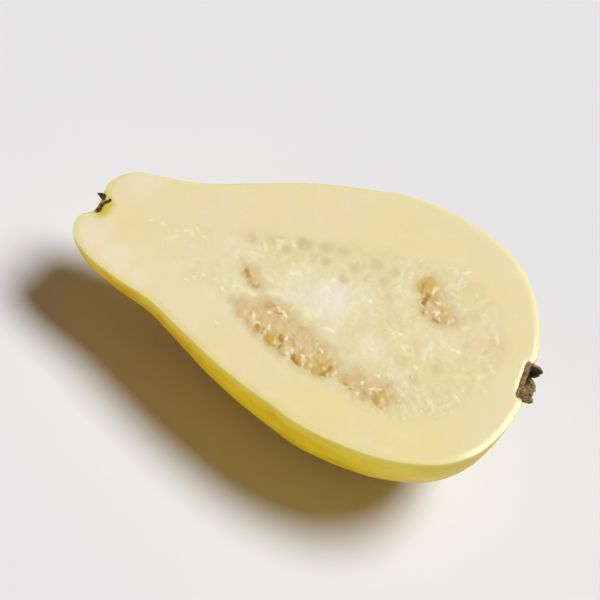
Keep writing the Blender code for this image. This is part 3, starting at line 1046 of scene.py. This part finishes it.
def build_shred(material):
    """A torn flake of the scar that stands in the mouth of the pit."""
    around = evenly(smooth_line(SHRED, 5, closed=True), SCAR_STEP)
    flat, faces, rim = slab(around, SCAR_STEP)
    edge = nearest(flat, around, closed=True)[0]
    curl = -0.04 * (2.2 - flat[:, 0]) ** 2
    wrinkles = rough(np.hstack([flat, np.zeros((len(flat), 1))]), 0.35, 14.0)
    middle = curl + 0.08 * wrinkles
    swell = 0.16 * np.sqrt(ramp(edge, 0.0, 0.35))
    top = np.column_stack([flat, middle + swell])
    bottom = np.column_stack([flat, middle - 1.6 * swell])[rim:]
    deep = ramp(wrinkles, -0.2, 0.4)
    stored = {"deep": np.append(deep, deep[rim:])}
    piece = add_piece("stem_shred", np.vstack([top, bottom]), faces, material, stored)


def build_calyx(material):
    """The dried calyx, cut through: a wrinkled ring of curled sepals round a dark disc."""
    profile = evenly(smooth_line(CALYX_CUP, COARSE), CALYX_STEP)
    points, faces = half_turned(profile, CALYX_TURNS, CALYX_STEP)[:2]
    turn = np.arctan2(-points[:, 2], points[:, 1])
    radius = np.hypot(points[:, 1], points[:, 2])
    wrinkles = rough(np.column_stack([turn * 7.0, points[:, 0] * 0.5, radius * 0.35]), 1.0, 15.0)
    fibres = rough(points, 0.3, 16.0)
    sepals = np.abs(np.sin(2.5 * turn + 0.6)) ** 0.6 - 0.5
    outer = ramp(points[:, 0], 98.4, 99.7)
    points += normals_of(points, faces) * (0.22 * wrinkles + 0.06 * fibres)[:, None]
    points[:, 0] += outer * (1.7 * sepals + 0.2 * wrinkles)
    points[:, 1:] *= (1.0 + outer * (0.1 * wrinkles - 0.14 * sepals))[:, None]
    points[:, 2] = np.minimum(points[:, 2], 0.1)
    hollow = ramp(radius, 3.1, 2.5) * ramp(points[:, 0], 97.9, 98.1)
    # Painted shade in the calyx's wrinkles, and the dark disc of its dried middle.
    values = {"deep": np.maximum(0.7 * ramp(-wrinkles - 0.5 * fibres, 0.0, 0.6), 0.9 * hollow)}
    piece = add_piece("calyx_ring", points, faces, material, values)
    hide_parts("calyx_cup")


# ---- the stage ----


def build_stage():
    """A plain pale floor that runs far past the view."""
    mesh = bpy.data.meshes.new("floor")
    corners = [(x * FLOOR_REACH, y * FLOOR_REACH, 0.0) for x, y in ((-1, -1), (1, -1), (1, 1), (-1, 1))]
    mesh.from_pydata(corners, [], [(0, 1, 2, 3)])
    mesh.materials.append(floor_material())
    floor = add_object("floor", mesh)


def add_camera():
    """The photograph's view: from the near side, well above, and rolled."""
    forward = Vector((
        math.sin(AZIMUTH) * math.cos(ELEVATION),
        math.cos(AZIMUTH) * math.cos(ELEVATION),
        -math.sin(ELEVATION),
    ))
    level = Vector((math.cos(AZIMUTH), -math.sin(AZIMUTH), 0.0))
    upright = level.cross(forward)
    right = math.cos(ROLL) * level + math.sin(ROLL) * upright
    up = -math.sin(ROLL) * level + math.cos(ROLL) * upright
    camera = bpy.data.cameras.new("camera")
    camera.lens = LENS
    camera.sensor_width = 36.0
    camera.clip_start = 0.01
    seat = add_object("camera", camera)
    seat.matrix_world = Matrix((right, up, -forward)).transposed().to_4x4()
    seat.location = Vector(to_world([AIM])[0]) - DISTANCE * forward
    bpy.context.scene.camera = seat


def build_room():
    """A dim warm room as the light from all round; the camera itself sees a pale backdrop."""
    world = bpy.data.worlds.new("studio")
    world.use_nodes = True
    nodes = world.node_tree.nodes
    room = nodes["Background"]
    room.inputs["Color"].default_value = ROOM_COLOUR
    room.inputs["Strength"].default_value = ROOM_STRENGTH
    backdrop = nodes.new("ShaderNodeBackground")
    backdrop.inputs["Color"].default_value = srgb(230, 229, 227)
    seen = nodes.new("ShaderNodeMixShader")
    links = world.node_tree.links
    links.new(nodes.new("ShaderNodeLightPath").outputs["Is Camera Ray"], seen.inputs["Fac"])
    links.new(room.outputs["Background"], seen.inputs[1])
    links.new(backdrop.outputs["Background"], seen.inputs[2])
    links.new(seen.outputs["Shader"], nodes["World Output"].inputs["Surface"])
    bpy.context.scene.world = world


def add_lamp(name, lamp, place, power, colour):
    """Point a lamp at the fruit from this place."""
    lamp.energy = power
    lamp.color = colour
    light = add_object(name, lamp)
    light.location = place
    light.rotation_euler = (-Vector(place)).to_track_quat("-Z", "Y").to_euler()


def light_scene():
    """A broad soft lamp high up on the far side as the window, and a low warm fill."""
    window = bpy.data.lights.new("window", "SUN")
    window.angle = WINDOW_ANGLE
    add_lamp("window", window, *WINDOW)
    fill = bpy.data.lights.new("fill", "AREA")
    fill.size = FILL_SIZE
    add_lamp("fill", fill, *FILL)
    bpy.context.scene.view_settings.view_transform = "Standard"


face, outline = build_fruit()
surface = [face]
seeds = seed_material()
for index, pocket in enumerate(POCKETS):
    surface.append(build_seeds(pocket, outline, seeds, random.Random(40 + index)))
build_beads(np.vstack(surface), bead_material(), random.Random(7))
scar_finish = dry_material("dry_stem", srgb(52, 34, 16), srgb(112, 82, 40))
build_scar(scar_finish)
build_shred(scar_finish)
cup_finish = dry_material("dry_calyx", srgb(96, 66, 34), srgb(178, 144, 92))
build_calyx(cup_finish)
build_stage()
add_camera()
build_room()
light_scene()
